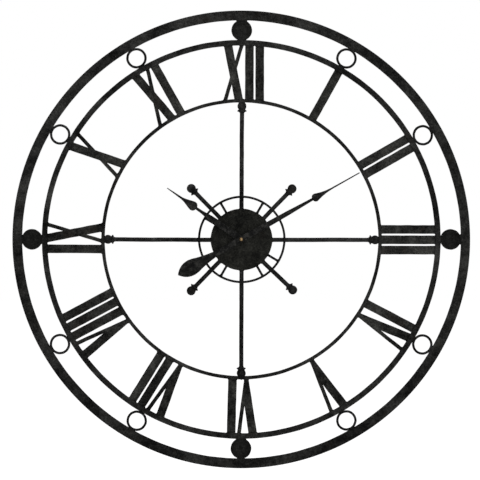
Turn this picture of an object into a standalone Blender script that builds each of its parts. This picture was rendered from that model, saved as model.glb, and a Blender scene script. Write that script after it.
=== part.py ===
"""Large open-frame wall clock in black wrought iron, with a quartz movement.

The clock hangs in the XZ plane with its dial facing -Y. The origin is on the
axis of the hands, in the plane of the wall. Clock angles are measured from
+Z towards +X, so a turn about +Y is clockwise for someone reading the dial.
Lengths below are in millimetres; add_part() turns them into metres.
"""

from math import asin, atan2, ceil, cos, degrees, pi, radians, sin, sqrt, tan

import bmesh
import bpy
from mathutils import Matrix

MM = 0.001
GAP = 0.3  # clearance left where two welded or stacked pieces touch

# ---- dial frame ------------------------------------------------------------
OUTER_R = 381.0
OUTER_BAND = 15.8
NUMERAL_OUT_R, NUMERAL_OUT_BAND = 331.8, 8.5
NUMERAL_IN_R, NUMERAL_IN_BAND = 233.3, 5.0
RING_FRONT, RING_BACK = -18.0, -15.0
ORNAMENT_R = (NUMERAL_OUT_R + OUTER_R - OUTER_BAND) / 2
ORNAMENT_GAP = OUTER_R - OUTER_BAND - NUMERAL_OUT_R
WIRE = 3.5
DISC_R = ORNAMENT_GAP / 2 - GAP
# small setting errors of the circles and discs, degrees clockwise, 1 to 12 o'clock
ORNAMENT_ERROR = (0.17, 0.15, 0.0, 0.12, -0.14, 0.08, -0.04, 0.0, 0.02, 0.09, -0.05, 0.13)

# ---- numerals --------------------------------------------------------------
PLATE_FRONT, PLATE_BACK = RING_BACK + GAP, RING_BACK + GAP + 2.0
LETTER_TOP, LETTER_FOOT = 329.0, 229.4
LETTER_REF, FOOT_REF = 316.6, 231.6  # heights at which the letters' widths are set
BAR = 13.7
HAIRLINE = 6.0
V_WIDTH, X_WIDTH = 30.8, 29.2
GAP_AFTER = {"I": 3.5, "V": 4.0, "X": 5.3}
# strips behind the rings that join a numeral's letters: low and high radius, letter edge
FOOT_STRIP = (228.9, 232.7, LETTER_FOOT)
HEAD_STRIP = (324.2, 331.0, LETTER_TOP)
NUMERALS = ("I", "II", "III", "IV", "V", "VI", "VII", "VIII", "IX", "X", "XI", "XII")
# small setting errors of the hand-welded letters, degrees clockwise, I to XII
SET_ERROR = (0.18, 0.23, 0.13, 0.5, -0.03, -0.11, -0.52, -0.05, 0.32, 0.33, 0.36, 0.91)
SET_LEAN = (-1.0, 0.0, 0.0, -0.75, -0.15, -0.35, 0.4, 0.0, 0.1, 0.1, 0.35, -0.75)
BAR_LEAN = 2.0  # a bar beside a V leans away from it
V_LEAN = {"IV": 0.0, "V": 0.0, "VI": -0.8, "VII": -2.5, "VIII": -2.9}

# ---- rods and hub ----------------------------------------------------------
ROD_R, ROD_Y = 3.15, -16.5
ROD_START_CROSS, ROD_START_SHORT = 31.0, 42.0
BALL_R, COLLAR_R = 7.6, 7.75
BALL_TO_COLLAR = 8.0
BALL_CROSS = NUMERAL_IN_R - NUMERAL_IN_BAND - 6.0  # sits against the ring, with a flat on it
BALL_SHORT = 119.4
HUB_BACK = ROD_Y - ROD_R - GAP
HUB_FRONT = HUB_BACK - 2.0
HUB_R = 51.0
HUB_RING_R, HUB_RING_WIRE = 72.75, 3.3
SPOKE_ANGLES = (30, 60, 120, 150, 210, 240, 300, 330)

# ---- movement --------------------------------------------------------------
CASE_HALF = 28.0
CASE_WALL = 1.0
CASE_FACE = 1.2
CASE_FRONT = HUB_BACK + 1.6
CASE_RIM = CASE_FRONT + 14.8
CASE_INNER = CASE_FRONT + CASE_FACE
COVER_FRONT, COVER_BACK = CASE_RIM + GAP, CASE_RIM + 1.2
BAY_TOP = -11.25
BUSH_R, BUSH_BORE = 4.0, 2.85
HOUR_TUBE_R, HOUR_TUBE_BORE = 2.55, 1.9
SHAFT_R = 1.6
ARBOR_R, SOCKET_R = 0.45, 0.75
ARBOR_FRONT, ARBOR_BACK = CASE_INNER - 0.5, COVER_FRONT + 0.35
STUD_R = 0.6
CENTRES = 9.0  # distance between meshing arbors
MAGNET_R = 3.0
CELL_R, CELL_LENGTH, CELL_NUB = 7.1, 50.5, 1.4
CELL_Y, CELL_Z = -9.85, -18.9

# arbors, as (x, z)
THIRD_AT = (CENTRES * sin(radians(-30)), CENTRES * cos(radians(-30)))
MOTION_AT = (CENTRES * sin(radians(30)), CENTRES * cos(radians(30)))
INTER_AT = (CENTRES, 0.0)
ROTOR_AT = (INTER_AT[0] + CENTRES * sin(radians(70.5)), CENTRES * cos(radians(70.5)))

# tooth counts, wheel then pinion
CANNON_T, MOTION_T, MOTION_PINION_T, HOUR_T, KNOB_T = 8, 24, 6, 24, 12
MINUTE_T, THIRD_PINION_T = 48, 6
THIRD_T, SECOND_PINION_T = 45, 6
SECOND_T, INTER_PINION_T = 30, 6
INTER_T, ROTOR_T = 36, 6
MOTION_MODULE = 2 * CENTRES / (CANNON_T + MOTION_T)
HOUR_MODULE = 2 * CENTRES / (MOTION_PINION_T + HOUR_T)
KNOB_DISTANCE = MOTION_MODULE * (MOTION_T + KNOB_T) / 2
KNOB_AT = (
    MOTION_AT[0] + KNOB_DISTANCE * sin(radians(35)),
    MOTION_AT[1] + KNOB_DISTANCE * cos(radians(35)),
)

# front and back planes of each wheel and pinion
CANNON_Y, MINUTE_WHEEL_Y = (-15.1, -12.6), (-12.95, -12.15)
THIRD_PINION_Y, THIRD_WHEEL_Y = (-13.3, -11.0), (-11.25, -10.45)
SECOND_PINION_Y, SECOND_WHEEL_Y = (-11.6, -9.2), (-9.45, -8.65)
INTER_PINION_Y, INTER_WHEEL_Y = (-9.8, -7.4), (-7.65, -6.85)
ROTOR_PINION_Y, MAGNET_Y = (-8.0, -6.0), (-6.2, -3.9)
MOTION_WHEEL_Y, MOTION_PINION_Y = (-14.75, -13.85), (-16.85, -14.5)
HOUR_WHEEL_Y = (-16.75, -15.85)

# ---- hands -----------------------------------------------------------------
HOUR_ANGLE, MINUTE_ANGLE = 304.7, 60.6
HAND_THICK = 1.0
HOUR_HAND_Y, MINUTE_HAND_Y = -28.3, -31.8  # front faces
# half outlines as (distance from the axis, half width)
HOUR_OUTLINE = (
    (6.0, 5.3), (51.0, 5.0), (62.0, 4.6), (80.0, 2.6), (90.6, 2.3), (91.8, 5.0), (94.0, 7.2),
    (97.5, 8.0), (102.0, 7.0), (107.5, 5.1), (113.0, 3.3), (120.0, 1.9), (149.6, 0.7),
)
MINUTE_OUTLINE = (
    (5.0, 5.2), (51.0, 4.5), (90.0, 3.8), (120.0, 2.75), (135.6, 2.2), (136.6, 4.6),
    (138.8, 6.4), (141.8, 6.9), (146.0, 5.6), (152.0, 3.9), (161.0, 2.2), (172.0, 1.35),
    (225.2, 0.9),
)
TAIL_OUTLINE = (
    (5.0, 5.2), (40.0, 4.6), (51.0, 5.0), (62.0, 6.5), (72.0, 8.4), (80.0, 10.3), (87.0, 12.4),
    (95.0, 13.5), (102.0, 12.8), (108.0, 10.8), (113.0, 7.8), (117.5, 3.8),
)
TAIL_TIP = 120.6

# ---- wall hanger -----------------------------------------------------------
HANGER_HALF = 8.0
HANGER_SHEET = 2.0
KEY_HEAD_R, KEY_HEAD_Z, KEY_SLOT, KEY_TOP = 4.5, 342.5, 4.8, 355.0

# colour, roughness, metallic
IRON = ((0.018, 0.018, 0.017), 0.6, 0.8)
PAINTED = ((0.016, 0.016, 0.016), 0.55, 0.3)
BRASS = ((0.60, 0.42, 0.18), 0.3, 1.0)
PLASTIC = ((0.02, 0.02, 0.022), 0.5, 0.0)
NYLON = ((0.75, 0.74, 0.68), 0.45, 0.0)
RUBBER = ((0.012, 0.012, 0.012), 0.85, 0.0)
STEEL = ((0.45, 0.45, 0.46), 0.35, 1.0)
COPPER = ((0.55, 0.22, 0.09), 0.35, 1.0)
BOARD = ((0.03, 0.12, 0.05), 0.5, 0.0)
CELL = ((0.08, 0.09, 0.10), 0.35, 0.3)


# ---- scene helpers ---------------------------------------------------------
def clear_scene():
    for obj in list(bpy.context.scene.objects):
        bpy.data.objects.remove(obj, do_unlink=True)


def principled(name, look):
    colour, roughness, metallic = look
    material = bpy.data.materials.new(name)
    material.use_nodes = True
    shader = material.node_tree.nodes["Principled BSDF"]
    shader.inputs["Base Color"].default_value = (*colour, 1.0)
    shader.inputs["Roughness"].default_value = roughness
    shader.inputs["Metallic"].default_value = metallic
    material.diffuse_color = (*colour, 1.0)
    return material


def add_part(name, bm, look, at=(0.0, 0.0), turn=0.0, smooth=False):
    """Link a bmesh in millimetres as one named object, turned clockwise about its axis."""
    bmesh.ops.recalc_face_normals(bm, faces=bm.faces)
    bmesh.ops.scale(bm, vec=(MM, MM, MM), verts=bm.verts)
    mesh = bpy.data.meshes.new(name)
    bm.to_mesh(mesh)
    bm.free()
    mesh.materials.append(principled(name, look))
    if smooth:
        mesh.shade_smooth()
        mesh.set_sharp_from_angle(angle=radians(40))
    obj = bpy.data.objects.new(name, mesh)
    obj.location = (at[0] * MM, 0.0, at[1] * MM)
    obj.rotation_euler = (0.0, radians(turn), 0.0)
    bpy.context.scene.collection.objects.link(obj)
    return obj


# ---- shapes, all in millimetres --------------------------------------------
def prism(loops, front, back):
    """A flat piece: an outer outline and any holes, as (x, z) loops, between two y planes."""
    bm = bmesh.new()
    edges = []
    pairs = []
    for loop in loops:
        near = [bm.verts.new((x, front, z)) for x, z in loop]
        far = [bm.verts.new((x, back, z)) for x, z in loop]
        pairs.append((near, far))
        edges += [bm.edges.new((near[i - 1], near[i])) for i in range(len(near))]
    twin = {a: b for near, far in pairs for a, b in zip(near, far)}
    if len(loops) == 1:
        caps = [bm.faces.new(pairs[0][0])]
    else:
        fill = bmesh.ops.triangle_fill(bm, use_beauty=True, use_dissolve=False, edges=edges)
        caps = [g for g in fill["geom"] if isinstance(g, bmesh.types.BMFace)]
    for face in caps:
        bm.faces.new([twin[v] for v in reversed(face.verts)])
    for near, far in pairs:
        for i in range(len(near)):
            bm.faces.new((near[i - 1], near[i], far[i], far[i - 1]))
    bmesh.ops.recalc_face_normals(bm, faces=bm.faces)
    return bm


def turned(profile, steps, closed=False):
    """Turn (radius, height) points about local Z. A closed profile makes a hollow ring."""
    bm = bmesh.new()
    rings = []
    for radius, height in profile:
        if radius == 0:
            rings.append([bm.verts.new((0, 0, height))])
            continue
        angles = [2 * pi * k / steps for k in range(steps)]
        rings.append([bm.verts.new((radius * cos(a), radius * sin(a), height)) for a in angles])
    last = len(rings) if closed else len(rings) - 1
    for n in range(last):
        low, high = rings[n], rings[(n + 1) % len(rings)]
        for k in range(steps):
            j = (k + 1) % steps
            corners = [low[k % len(low)], low[j % len(low)], high[j % len(high)], high[k % len(high)]]
            bm.faces.new(list(dict.fromkeys(corners)))
    bmesh.ops.recalc_face_normals(bm, faces=bm.faces)
    return bm


def turned_y(profile, steps, closed=False):
    """The same, about the Y axis: points are (radius, y)."""
    bm = turned([(r, -y) for r, y in profile], steps, closed)
    bmesh.ops.rotate(bm, verts=bm.verts, matrix=Matrix.Rotation(radians(90), 3, "X"))
    return bm


def tube(outer, bore, front, back, steps):
    return turned_y([(bore, front), (outer, front), (outer, back), (bore, back)], steps, True)


def rod_y(radius, front, back, steps=12, at=(0.0, 0.0)):
    bm = turned_y([(0, front), (radius, front), (radius, back), (0, back)], steps)
    return moved(bm, at)


def moved(bm, at):
    bmesh.ops.translate(bm, verts=bm.verts, vec=(at[0], 0.0, at[1]))
    return bm


def box(x, y, z):
    """A box from three (low, high) pairs."""
    loop = [(x[0], z[0]), (x[1], z[0]), (x[1], z[1]), (x[0], z[1])]
    return prism([loop], y[0], y[1])


def circle(radius, count, at=(0.0, 0.0), phase=0.0):
    angles = [2 * pi * (k + phase) / count for k in range(count)]
    return [(at[0] + radius * sin(a), at[1] + radius * cos(a)) for a in angles]


def combine(base, others, operation="UNION"):
    """Exact Boolean of bmeshes, returned as a new bmesh."""
    helpers = []
    for bm in [base, *others]:
        mesh = bpy.data.meshes.new("helper")
        bm.to_mesh(mesh)
        bm.free()
        helper = bpy.data.objects.new("helper", mesh)
        bpy.context.scene.collection.objects.link(helper)
        helpers.append(helper)
    for other in helpers[1:]:
        cut = helpers[0].modifiers.new("combine", "BOOLEAN")
        cut.operation = operation
        cut.solver = "EXACT"
        cut.object = other
    depsgraph = bpy.context.evaluated_depsgraph_get()
    result = bmesh.new()
    result.from_mesh(helpers[0].evaluated_get(depsgraph).to_mesh())
    for helper in helpers:
        mesh = helper.data
        bpy.data.objects.remove(helper)
        bpy.data.meshes.remove(mesh)
    bmesh.ops.remove_doubles(result, verts=result.verts, dist=1e-4)
    bmesh.ops.dissolve_degenerate(result, edges=result.edges, dist=1e-4)
    return result


# ---- dial frame ------------------------------------------------------------
def flat_ring(name, radius, band, steps):
    inner = radius - band
    profile = [(inner, RING_FRONT), (radius, RING_FRONT), (radius, RING_BACK), (inner, RING_BACK)]
    add_part(name, turned_y(profile, steps, True), IRON, smooth=True)


def wire_circle(hour):
    """A bent wire ring that sits between the two outer rings."""
    middle = ORNAMENT_GAP / 2 - GAP - WIRE / 2
    section = [2 * pi * k / 6 for k in range(6)]
    y = (RING_FRONT + RING_BACK) / 2
    profile = [(middle + WIRE / 2 * cos(a), y + WIRE / 2 * sin(a)) for a in section]
    bm = moved(turned_y(profile, 28, True), (0, ORNAMENT_R))
    turn = 30 * hour + ORNAMENT_ERROR[hour - 1]
    add_part(f"circle_ornament_{hour:02d}", bm, IRON, turn=turn, smooth=True)


def disc_ornament(hour):
    """A dished disc with a raised middle, and the weld tabs that hold it in the gap."""
    back, rim, groove, dome = RING_BACK - 0.3, -17.4, -17.9, -20.0
    profile = [
        (0, dome), (4.5, dome + 0.25), (8.5, dome + 1.1), (10.2, groove),
        (15.0, groove), (DISC_R, rim), (DISC_R, back), (0, back),
    ]
    disc = moved(turned_y(profile, 32), (0, ORNAMENT_R))
    reach = ORNAMENT_GAP / 2 - GAP
    tabs = [
        box((-4.4, 4.4), (-17.2, -15.6), (ORNAMENT_R - reach, ORNAMENT_R - 10)),
        box((-6.6, 6.6), (-17.2, -15.6), (ORNAMENT_R + 10, ORNAMENT_R + reach)),
    ]
    turn = 30 * hour + ORNAMENT_ERROR[hour - 1]
    add_part(f"disc_ornament_{hour:02d}", combine(disc, tabs), IRON, turn=turn, smooth=True)


# ---- numerals --------------------------------------------------------------
def crossing(a, b, c, d):
    """Where line a-b meets line c-d."""
    x1, y1, x2, y2 = b[0] - a[0], b[1] - a[1], d[0] - c[0], d[1] - c[1]
    t = ((c[0] - a[0]) * y2 - (c[1] - a[1]) * x2) / (x1 * y2 - y1 * x2)
    return (a[0] + t * x1, a[1] + t * y1)


def stroke(u_top, u_foot, width):
    """A stroke's four corners, given its centre line's u at the two reference heights."""
    slope = (u_top - u_foot) / (LETTER_REF - FOOT_REF)

    def at(v, side):
        return (u_top + slope * (v - LETTER_REF) + side * width / 2, v)

    return at(LETTER_TOP, -1), at(LETTER_TOP, 1), at(LETTER_FOOT, 1), at(LETTER_FOOT, -1)


def letter_i():
    return list(stroke(0, 0, BAR))


def letter_v():
    """The thick stroke on the left and the hairline on the right meet at the foot."""
    tl, tr, br, bl = stroke(-8.65, 2.75, BAR)
    hl, hr, er, el = stroke(12.5, -0.7, HAIRLINE)
    return [tl, tr, crossing(tr, br, hl, el), hl, hr, er, bl]


def letter_x():
    tl, tr, br, bl = stroke(-7.7, 9.4, BAR)
    hl, hr, er, el = stroke(11.8, -13.4, HAIRLINE)
    return [
        tl, tr, crossing(tr, br, hl, el), hl, hr, crossing(tr, br, hr, er),
        br, bl, crossing(tl, bl, hr, er), er, el, crossing(tl, bl, hl, el),
    ]


LETTERS = {"I": (letter_i, BAR), "V": (letter_v, V_WIDTH), "X": (letter_x, X_WIDTH)}


def lean_of(word, n):
    """How far letter n of a numeral leans, in degrees clockwise."""
    if word[n] == "V":
        return V_LEAN[word]
    if "V" in word and word[n] == "I":
        return BAR_LEAN if n > word.index("V") else -BAR_LEAN
    return 0.0


def foot_arc(low, high, left, right):
    """A strip that follows a ring, between two angles in degrees."""
    count = max(2, ceil((right - left) / 3))
    angles = [radians(left + (right - left) * k / count) for k in range(count + 1)]
    outer = [(high * sin(a), high * cos(a)) for a in angles]
    inner = [(low * sin(a), low * cos(a)) for a in reversed(angles)]
    return outer + inner


def numeral(hour):
    """One numeral cut from sheet, standing between the two numeral rings."""
    word = NUMERALS[hour - 1]
    widths = [LETTERS[c][1] for c in word]
    gaps = [max(GAP_AFTER[a], GAP_AFTER[b]) for a, b in zip(word, word[1:])]
    left = -(sum(widths) + sum(gaps)) / 2
    shapes, outlines = [], []
    for n, char in enumerate(word):
        middle = left + widths[n] / 2
        slope = tan(radians(lean_of(word, n) + SET_LEAN[hour - 1]))
        outline = [(u + middle + slope * (v - LETTER_REF), v) for u, v in LETTERS[char][0]()]
        shapes.append(prism([outline], PLATE_FRONT, PLATE_BACK))
        outlines.append(outline)
        left += widths[n] + (gaps[n] if n < len(gaps) else 0)
    if len(word) > 1:
        for low, high, level in (FOOT_STRIP, HEAD_STRIP):
            us = [u for outline in outlines for u, v in outline if v == level]
            side = [degrees(atan2(u, level)) for u in (min(us) + 1, max(us) - 1)]
            strip = foot_arc(low, high, *side)
            shapes.append(prism([strip], PLATE_FRONT + 0.2, PLATE_BACK - 0.2))
        body = combine(shapes[0], shapes[1:])
    else:
        body = shapes[0]
    add_part(f"numeral_{hour:02d}", body, IRON, turn=30 * hour + SET_ERROR[hour - 1])


# ---- rods and hub ----------------------------------------------------------
def rod(name, start, ball, turn, end=None):
    """A round bar that ends in a flared collar and a ball, cut flat where it meets a ring."""
    collar = ball - BALL_TO_COLLAR
    last = asin((end - ball) / BALL_R) if end else pi / 2
    bulge = [-radians(42) + (last + radians(42)) * k / 6 for k in range(7)]
    profile = [(0, start), (ROD_R, start), (ROD_R, collar - 3.6), (4.4, collar - 2.0)]
    profile += [(COLLAR_R, collar - 0.9), (COLLAR_R, collar + 0.7), (5.7, collar + 2.2)]
    profile += [(BALL_R * cos(a), ball + BALL_R * sin(a)) for a in bulge[: 7 if end else 6]]
    profile += [(0, ball + BALL_R * sin(last))]
    bm = turned(profile, 12)
    bmesh.ops.translate(bm, verts=bm.verts, vec=(0, ROD_Y, 0))
    add_part(name, bm, IRON, turn=turn, smooth=True)


def hub_disc():
    profile = [(4.4, HUB_BACK), (HUB_R, HUB_BACK), (HUB_R, HUB_FRONT + 0.5)]
    profile += [(HUB_R - 0.6, HUB_FRONT), (4.4, HUB_FRONT)]
    add_part("hub_disc", turned_y(profile, 56, True), IRON, smooth=True)


def hub_ring():
    """The small ring with its short spokes, which are welded to the disc's rim."""
    inner = HUB_RING_R - HUB_RING_WIRE
    half = HUB_RING_WIRE / 2
    hole = []
    spread = degrees(asin(half / inner))
    tip = HUB_R + GAP
    for n, angle in enumerate(SPOKE_ANGLES):
        side = radians(angle)
        for across, along in ((-half, inner), (-half, tip), (half, tip), (half, inner)):
            if along == inner:
                along = sqrt(inner**2 - half**2)
            x = along * sin(side) + across * cos(side)
            z = along * cos(side) - across * sin(side)
            hole.append((x, z))
        step = (SPOKE_ANGLES[(n + 1) % 8] - angle) % 360
        count = round(step / 7.5)
        first, sweep = angle + spread, step - 2 * spread
        for k in range(1, count):
            a = radians(first + sweep * k / count)
            hole.append((inner * sin(a), inner * cos(a)))
    outer = circle(HUB_RING_R, 64)
    front = HUB_BACK - HUB_RING_WIRE
    add_part("hub_ring", prism([outer, hole], front, HUB_BACK), IRON)


# ---- hands -----------------------------------------------------------------
def hand_plate(front, ends, hole_r, collet_r, collet_back):
    """A flat hand with a round collet behind it."""
    right = [(w, s) for s, w in ends[0]]
    left = [(-w, s) for s, w in reversed(ends[0])]
    if len(ends) > 1:
        tail = [(-w, -s) for s, w in ends[1]] + [(0, -TAIL_TIP)]
        tail += [(w, -s) for s, w in reversed(ends[1])]
        outline = right + left + tail
    else:
        outline = right + left + [(-5.2, 0), (-3.7, -3.7), (0, -5.2), (3.7, -3.7), (5.2, 0)]
    plate = prism([outline, circle(hole_r, 16)], front, front + HAND_THICK)
    collet = tube(collet_r, hole_r + 0.02, front + 0.4, collet_back, 18)
    return combine(plate, [collet])


def hands():
    hour = hand_plate(HOUR_HAND_Y, [HOUR_OUTLINE], HOUR_TUBE_R + GAP, 5.6, HOUR_HAND_Y + 2.0)
    add_part("hour_hand", hour, PAINTED, turn=HOUR_ANGLE)
    ends = [MINUTE_OUTLINE, TAIL_OUTLINE]
    minute = hand_plate(MINUTE_HAND_Y, ends, SHAFT_R + GAP, 4.6, MINUTE_HAND_Y + 1.9)
    add_part("minute_hand", minute, PAINTED, turn=MINUTE_ANGLE)
    front = MINUTE_HAND_Y - GAP
    bore = SHAFT_R + GAP
    profile = [
        (0, front - 2.6), (1.6, front - 2.45), (2.9, front - 1.8), (3.4, front - 1.2),
        (3.75, front - 1.1), (3.75, front), (bore, front), (bore, front - 1.5), (0, front - 1.5),
    ]
    add_part("minute_hand_nut", turned_y(profile, 14), BRASS, turn=MINUTE_ANGLE, smooth=True)


# ---- gears -----------------------------------------------------------------
def toothed(teeth, module, phase):
    """A gear outline. phase is the clock angle of one tooth's centre, in degrees."""
    root = module * (teeth / 2 - 1.15)
    tip = module * (teeth / 2 + 0.85)
    tooth = [(root, -0.29), (tip, -0.11), (tip, 0.11), (root, 0.29)]
    if teeth > 20:  # a wheel's fine teeth come to a point, a pinion's leaves are blunt
        tooth = [(root, -0.29), (tip, 0.0), (root, 0.29)]
    outline = [(r, radians(phase + 360 * (k + part) / teeth)) for k in range(teeth) for r, part in tooth]
    return [(r * sin(a), r * cos(a)) for r, a in outline]


def meshing_phase(phase_a, teeth_a, at_a, teeth_b, at_b):
    """The phase that puts gear b's gaps opposite gear a's teeth."""
    line = degrees(atan2(at_b[0] - at_a[0], at_b[1] - at_a[1]))
    pitch_a, pitch_b = 360 / teeth_a, 360 / teeth_b
    offset = ((phase_a - line) / pitch_a) % 1
    return line + 180 - offset * pitch_b + pitch_b / 2


def arbor(front=ARBOR_FRONT, back=ARBOR_BACK, radius=ARBOR_R):
    return rod_y(radius, front, back, 10)


def train_module(wheel, pinion):
    return 2 * CENTRES / (wheel + pinion)


def gear_train():
    """The going train and the motion work, each arbor with its wheel and pinion in one."""
    centre = (0.0, 0.0)
    # going train, from the minute wheel back to the rotor
    module = train_module(MINUTE_T, THIRD_PINION_T)
    shaft_front = MINUTE_HAND_Y - GAP - 1.2
    parts = [
        rod_y(SHAFT_R, shaft_front, -12.0, 16),
        prism([toothed(CANNON_T, MOTION_MODULE, 0)], *CANNON_Y),
        prism([toothed(MINUTE_T, module, 0)], *MINUTE_WHEEL_Y),
    ]
    body = combine(parts[0], parts[1:])
    body = combine(body, [rod_y(SOCKET_R, -13.6, -11.5, 12)], "DIFFERENCE")
    add_part("minute_wheel", body, BRASS)

    pinion = meshing_phase(0, MINUTE_T, centre, THIRD_PINION_T, THIRD_AT)
    pinion_shape = prism([toothed(THIRD_PINION_T, module, pinion)], *THIRD_PINION_Y)
    module = train_module(THIRD_T, SECOND_PINION_T)
    wheel = prism([toothed(THIRD_T, module, 0)], *THIRD_WHEEL_Y)
    add_part("third_wheel", combine(wheel, [pinion_shape, arbor()]), NYLON, at=THIRD_AT)

    pinion = meshing_phase(0, THIRD_T, THIRD_AT, SECOND_PINION_T, centre)
    pinion_shape = prism([toothed(SECOND_PINION_T, module, pinion)], *SECOND_PINION_Y)
    module = train_module(SECOND_T, INTER_PINION_T)
    wheel = prism([toothed(SECOND_T, module, 0)], *SECOND_WHEEL_Y)
    add_part("second_wheel", combine(wheel, [pinion_shape, arbor(-13.2)]), NYLON)

    pinion = meshing_phase(0, SECOND_T, centre, INTER_PINION_T, INTER_AT)
    pinion_shape = prism([toothed(INTER_PINION_T, module, pinion)], *INTER_PINION_Y)
    module = train_module(INTER_T, ROTOR_T)
    wheel = prism([toothed(INTER_T, module, 0)], *INTER_WHEEL_Y)
    add_part("intermediate_wheel", combine(wheel, [pinion_shape, arbor()]), NYLON, at=INTER_AT)

    pinion = meshing_phase(0, INTER_T, INTER_AT, ROTOR_T, ROTOR_AT)
    pinion_shape = prism([toothed(ROTOR_T, module, pinion)], *ROTOR_PINION_Y)
    magnet = rod_y(MAGNET_R, *MAGNET_Y, 20)
    add_part("motor_rotor", combine(magnet, [pinion_shape, arbor()]), STEEL, at=ROTOR_AT)

    # motion work, from the cannon pinion to the hour wheel and the setting knob
    phase = meshing_phase(0, CANNON_T, centre, MOTION_T, MOTION_AT)
    bore = STUD_R + 0.25
    wheel = prism([toothed(MOTION_T, MOTION_MODULE, phase), circle(bore, 12)], *MOTION_WHEEL_Y)
    hub = prism([toothed(MOTION_PINION_T, HOUR_MODULE, 0), circle(bore + 0.01, 12)], *MOTION_PINION_Y)
    add_part("motion_wheel", combine(wheel, [hub]), NYLON, at=MOTION_AT)

    knob_phase = meshing_phase(phase, MOTION_T, MOTION_AT, KNOB_T, KNOB_AT)
    gear = prism([toothed(KNOB_T, MOTION_MODULE, knob_phase)], *MOTION_WHEEL_Y)
    grip = prism([toothed(18, 0.53, 0)], COVER_BACK + GAP, -0.5)
    stem = arbor(back=-1.2, radius=0.8)
    add_part("setting_knob", combine(stem, [gear, grip]), PLASTIC, at=KNOB_AT)

    phase = meshing_phase(0, MOTION_PINION_T, MOTION_AT, HOUR_T, centre)
    bore = HOUR_TUBE_BORE
    wheel = prism([toothed(HOUR_T, HOUR_MODULE, phase), circle(bore, 16)], *HOUR_WHEEL_Y)
    pipe = tube(HOUR_TUBE_R, bore + 0.01, HOUR_HAND_Y - 0.5, HOUR_WHEEL_Y[1] - 0.35, 16)
    add_part("hour_wheel", combine(wheel, [pipe]), NYLON)


# ---- movement --------------------------------------------------------------
def rounded_square(half, corner, low=None):
    """A square outline with round corners; low sets its lower edge."""
    low = -half if low is None else low
    loop = []
    for cx, cz, start in (
        (half - corner, half - corner, 0), (half - corner, low + corner, 90),
        (corner - half, low + corner, 180), (corner - half, half - corner, 270),
    ):
        for k in range(4):
            a = radians(start + 30 * k)
            loop.append((cx + corner * sin(a), cz + corner * cos(a)))
    return loop


def movement_case():
    """A tray with the gear room above and the battery bay below, both open to the rear."""
    inner = CASE_HALF - CASE_WALL
    shell = prism([rounded_square(CASE_HALF, 3)], CASE_FRONT, CASE_RIM)
    behind = CASE_RIM + 1
    cuts = [
        box((-inner, inner), (CASE_INNER, behind), (BAY_TOP + CASE_WALL, inner)),
        box((-inner, inner), (CASE_INNER, behind), (-inner, BAY_TOP)),
        rod_y(BUSH_R + GAP, CASE_FRONT - 1, CASE_INNER + 1, 24),
    ]
    for side in (-25.9, 25.9):
        cuts.append(box((side - 0.7, side + 0.7), (-14.5, behind), (BAY_TOP - 1, BAY_TOP + 2)))
    for at in (THIRD_AT, INTER_AT, ROTOR_AT):
        cuts.append(rod_y(SOCKET_R, CASE_INNER - 0.8, CASE_INNER + 1, 10, at))
    cuts.append(rod_y(1.1, CASE_INNER - 0.8, CASE_INNER + 1, 10, KNOB_AT))
    body = combine(shell, cuts, "DIFFERENCE")
    body = combine(body, [rod_y(STUD_R, CASE_INNER - 0.4, -13.5, 12, MOTION_AT)])
    add_part("movement_case", body, PLASTIC)

    cover = prism([rounded_square(CASE_HALF, 3, BAY_TOP + 0.3)], COVER_FRONT, COVER_BACK)
    holes = [rod_y(1.2, COVER_FRONT - 1, COVER_BACK + 1, 12, KNOB_AT)]
    for at in ((0.0, 0.0), THIRD_AT, INTER_AT, ROTOR_AT):
        holes.append(rod_y(SOCKET_R, COVER_FRONT - 1, COVER_FRONT + 0.6, 10, at))
    add_part("movement_cover", combine(cover, holes, "DIFFERENCE"), PLASTIC)


def movement_fixing():
    """The threaded bush, its nut in front of the disc, and the washer behind it."""
    add_part("threaded_bush", tube(BUSH_R, BUSH_BORE, -25.6, CASE_INNER - 0.1, 24), BRASS, smooth=True)
    hexagon = circle(6.4, 6)
    front = HUB_FRONT - GAP - 2.0
    nut = prism([hexagon, circle(BUSH_R + GAP, 18)], front, HUB_FRONT - GAP)
    add_part("fixing_nut", nut, PAINTED)
    add_part("rubber_washer", tube(11.0, BUSH_R + GAP, HUB_BACK + GAP, CASE_FRONT - GAP, 24), RUBBER)


def motor():
    """The stepping motor's stator plate with the rotor hole, and its coil on a flat core."""
    x, z = ROTOR_AT
    outline = [
        (x - 3.4, -8.5), (26.2, -8.5), (26.2, -5.6), (x + 3.6, -5.6),
        (x + 3.6, 11.6), (26.2, 11.6), (26.2, 14.5), (x - 3.4, 14.5),
        (x - 3.4, z + 3), (x - 4.6, z), (x - 3.4, z - 3),
    ]
    plate = prism([outline, circle(MAGNET_R + 0.4, 20, ROTOR_AT)], -5.4, -4.6)
    add_part("motor_stator", plate, STEEL)
    core = box((23.2, 25.2), (-6.7, -5.7), (-8.3, 14.3))
    winding = turned([(0, -4.4), (2.6, -4.4), (2.6, 10.4), (0, 10.4)], 16)
    flanges = [box((21.6, 26.8), (-8.8, -3.7), (low, low + 0.8)) for low in (-5.2, 10.2)]
    bmesh.ops.translate(winding, verts=winding.verts, vec=(24.2, -6.2, 0))
    add_part("motor_coil", combine(winding, [core, *flanges]), COPPER)


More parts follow.
